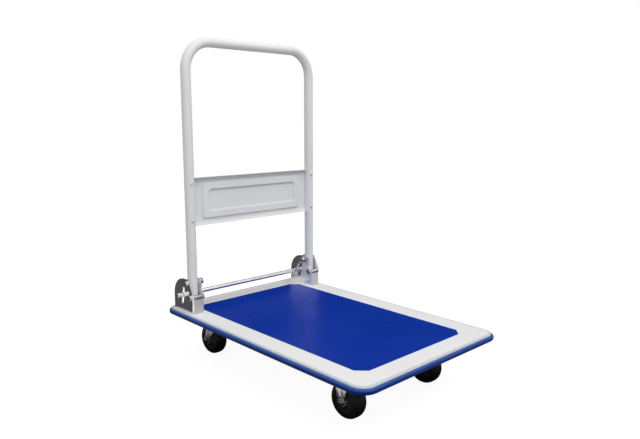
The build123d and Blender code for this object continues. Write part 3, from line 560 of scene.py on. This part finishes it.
def leaves_coil(point, turn):
    """The angle at which a straight leg to a point leaves the coil."""
    reach = hypot(point.x - PIVOT.x, point.z - PIVOT.z)
    bearing = atan2(point.z - PIVOT.z, point.x - PIVOT.x)
    return bearing + turn * acos(COIL_RADIUS / reach)


def torsion_spring(side):
    """The left spring's line, mirrored for the right one."""
    elbow = Vector((BAR.x - HOOK - WIRE, BAR_LEG_Y, BAR.z + HOOK))
    bar_angle, anchor_angle = leaves_coil(elbow, -1), leaves_coil(ANCHOR, 1)
    turns = WHOLE_TURNS + (bar_angle - anchor_angle) % (2 * pi) / (2 * pi)
    coil = []
    for step in range(COIL_STEPS + 1):
        angle = bar_angle - 2 * pi * turns * step / COIL_STEPS
        y = COIL_INNER_Y + (COIL_OUTER_Y - COIL_INNER_Y) * step / COIL_STEPS
        coil.append(PIVOT + Vector((COIL_RADIUS * cos(angle), y, COIL_RADIUS * sin(angle))))
    bar_leg = [
        Vector((BAR.x + HOOK / 2, BAR_LEG_Y, BAR.z - HOOK)),
        Vector((BAR.x - HOOK, BAR_LEG_Y, BAR.z - HOOK)),
        elbow,
        coil[0],
    ]
    anchor_leg = [
        coil[-1],
        Vector((ANCHOR.x, ANCHOR_LEG_Y, ANCHOR.z)),
        Vector((ANCHOR.x, ANCHOR_END_Y, ANCHOR.z)),
    ]
    line = rounded(bar_leg, HOOK_BEND)[:-1]
    bend_end = line[-1]
    line += [bend_end.lerp(coil[0], step / BAR_LEG_STEPS) for step in range(1, BAR_LEG_STEPS)]
    line += coil + rounded(anchor_leg, ANCHOR_BEND)[1:]
    return [Vector((point.x, side * point.y, point.z)) for point in line]


for name, side in (("left", 1), ("right", -1)):
    line = torsion_spring(side)
    work = bmesh.new()
    add_wire(work, line, [WIRE] * len(line), WIRE_SIDES)
    spring = finished(work, f"torsion_spring_{name}", "spring_steel")
    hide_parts("bar_springs")
    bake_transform(spring)


# Stitch welds that hold the rails and cross-members under the pan

BEAD_HALF = 11 * MM
BEAD_RADIUS = 1.7 * MM
BEAD_TIP = 0.05 * MM
BEAD_RIPPLE = 0.14
# The higher it is, the blunter a bead's ends
BEAD_POWER = 6
# How far the beads sit below the pan
BEAD_DROP = 1 * MM
BEAD_STEPS = 34
BEAD_SIDES = 10
RAIL_EDGES = (34 * MM, 96 * MM)
# The rails' beads along the deck, in millimetres
BEAD_SPACING, BEADS_START, RAIL_BEADS = 80, -174, 5
RAIL_BEADS_X = [(BEAD_SPACING * place + BEADS_START) * MM for place in range(RAIL_BEADS)]
CROSS_BEADS_Y = (-140 * MM, 0, 140 * MM)


def add_bead(work, centre, direction):
    """A rippled weld bead, thinner at both ends."""
    line, radii = [], []
    for step in range(BEAD_STEPS + 1):
        share = 2 * step / BEAD_STEPS - 1
        line.append(centre + BEAD_HALF * share * direction)
        ripple = 1 - BEAD_RIPPLE * (step % 2)
        radii.append(BEAD_RADIUS * (1 - share ** BEAD_POWER) ** 0.5 * ripple + BEAD_TIP)
    add_wire(work, line, radii, BEAD_SIDES)


welds = bmesh.new()
under_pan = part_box("deck_rails")[1][2] - BEAD_DROP
for edge in RAIL_EDGES:
    for side in (1, -1):
        for x in RAIL_BEADS_X:
            add_bead(welds, Vector((x, side * edge, under_pan)), Vector((1, 0, 0)))
for member in ("front_crossmember", "rear_crossmember"):
    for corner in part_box(member):
        for y in CROSS_BEADS_Y:
            add_bead(welds, Vector((corner[0], y, under_pan)), Vector((0, 1, 0)))
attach(finished(welds, "deck_welds", "off_white_paint"), "deck")


# Floor, light and camera

FLOOR_HALF = 9.0
FLOOR_SHADE = 0.45
# The floor as it is seen: a darker shade under a glow
SEEN_FLOOR_SHADE = 0.16
SEEN_FLOOR_GLOW = 0.93
CARD_HEIGHT = 4 * MM
SKY_TONE = (0.97, 0.98, 1.0, 1)
SKY_STRENGTH = 0.45
# The photo's camera: its place, how far it looks down and its bearing in degrees, and its lens
CAMERA_PLACE = (1.0673, -1.0069, 0.6210)
CAMERA_DOWN = 9.217
CAMERA_BEARING = 136.77
CAMERA_SENSOR = 36.0
CAMERA_LENS = 34.43


def split_rays(tree, output_kind, unseen, seen):
    """Shows one shader to camera, glossy and transmission rays, and another to the rest."""
    path = tree.nodes.new("ShaderNodeLightPath")
    total = path.outputs["Is Camera Ray"]
    for ray in ("Is Glossy Ray", "Is Transmission Ray"):
        either = tree.nodes.new("ShaderNodeMath")
        either.operation = "MAXIMUM"
        tree.links.new(total, either.inputs[0])
        tree.links.new(path.outputs[ray], either.inputs[1])
        total = either.outputs["Value"]
    mix = tree.nodes.new("ShaderNodeMixShader")
    tree.links.new(total, mix.inputs["Fac"])
    tree.links.new(unseen, mix.inputs[1])
    tree.links.new(seen, mix.inputs[2])
    output = tree.nodes.new(output_kind)
    tree.links.new(mix.outputs["Shader"], output.inputs["Surface"])


def white_floor():
    """A pale floor whose own glow keeps it white, with the soft shadow left on it."""
    material = bpy.data.materials.new("pale_floor")
    material.use_nodes = True
    tree = material.node_tree
    tree.nodes.clear()
    plain = tree.nodes.new("ShaderNodeBsdfDiffuse")
    plain.inputs["Color"].default_value = grey(FLOOR_SHADE)
    soft = tree.nodes.new("ShaderNodeBsdfDiffuse")
    soft.inputs["Color"].default_value = grey(SEEN_FLOOR_SHADE)
    glow = tree.nodes.new("ShaderNodeEmission")
    glow.inputs["Strength"].default_value = SEEN_FLOOR_GLOW
    both = tree.nodes.new("ShaderNodeAddShader")
    tree.links.new(soft.outputs["BSDF"], both.inputs[0])
    tree.links.new(glow.outputs["Emission"], both.inputs[1])
    split_rays(tree, "ShaderNodeOutputMaterial", plain.outputs["BSDF"], both.outputs["Shader"])
    return material


def flat_stage(name, corners, material):
    """A four-cornered sheet of the studio, which isn't part of the object."""
    mesh = bpy.data.meshes.new(name)
    mesh.from_pydata(corners, [], [(0, 1, 2, 3)])
    mesh.materials.append(material)
    sheet = bpy.data.objects.new(name, mesh)
    bpy.context.scene.collection.objects.link(sheet)
    return sheet


def level(left, near, right, far, height):
    """The corners of a level sheet."""
    return [(left, near, height), (right, near, height), (right, far, height), (left, far, height)]


def dark_card(name, shade, corners):
    """A matt dark studio card that only reflections see."""
    look = Look(name, Base_Color=grey(shade), Roughness=1.0, Specular_IOR_Level=0.0)
    card = flat_stage(name, corners, look.material)
    card.visible_camera = False
    card.visible_diffuse = False
    card.visible_transmission = False
    card.visible_shadow = False


def softbox(name, place, target, size, power):
    """A square lamp at a place, turned to a target."""
    lamp = bpy.data.lights.new(name, "AREA")
    lamp.shape = "SQUARE"
    lamp.size = size
    lamp.energy = power
    lamp_object = bpy.data.objects.new(name, lamp)
    lamp_object.location = place
    aim = Vector(target) - Vector(place)
    lamp_object.rotation_euler = aim.to_track_quat("-Z", "Y").to_euler()
    bpy.context.scene.collection.objects.link(lamp_object)


flat_stage("floor", level(-FLOOR_HALF, -FLOOR_HALF, FLOOR_HALF, FLOOR_HALF, 0), white_floor())
behind = level(left=-1.9, near=-1.7, right=-0.55, far=0.2, height=CARD_HEIGHT)
dark_card("low_card", shade=0.11, corners=behind)
# A near-black sheet under the deck, seen only in reflections: painted shade for the shaded floor
# beneath the deck
below_deck = level(left=-0.4, near=-0.253, right=0.39, far=0.4, height=CARD_HEIGHT)
dark_card("under_deck_shade_card", shade=0.03, corners=below_deck)
upright = [(-3.8, 0.5, 0.02), (-0.6, 3.7, 0.02), (-0.6, 3.7, 2.7), (-3.8, 0.5, 2.7)]
dark_card("rear_card", shade=0.01, corners=upright)

world = bpy.data.worlds.new("studio")
bpy.context.scene.world = world
world.use_nodes = True
sky = world.node_tree
sky.nodes.clear()
fill = sky.nodes.new("ShaderNodeBackground")
fill.inputs["Color"].default_value = SKY_TONE
fill.inputs["Strength"].default_value = SKY_STRENGTH
backdrop = sky.nodes.new("ShaderNodeBackground")
backdrop.inputs["Color"].default_value = grey(1.0)
backdrop.inputs["Strength"].default_value = 1.0
split_rays(
    sky, "ShaderNodeOutputWorld", fill.outputs["Background"], backdrop.outputs["Background"]
)

softbox("key_softbox", place=(2.6, 0.62, 5.3), target=(0, 0, 0.3), size=4.0, power=205)
softbox("fill_softbox", place=(1.3, -2.3, 2.2), target=(0, 0, 0.35), size=2.2, power=20)

camera_data = bpy.data.cameras.new("photo_camera")
camera_data.sensor_width = CAMERA_SENSOR
camera_data.lens = CAMERA_LENS
camera = bpy.data.objects.new("photo_camera", camera_data)
camera.location = CAMERA_PLACE
camera.rotation_euler = (radians(90 - CAMERA_DOWN), 0, radians(CAMERA_BEARING - 90))
bpy.context.scene.collection.objects.link(camera)
bpy.context.scene.camera = camera
bpy.context.scene.view_settings.view_transform = "Standard"
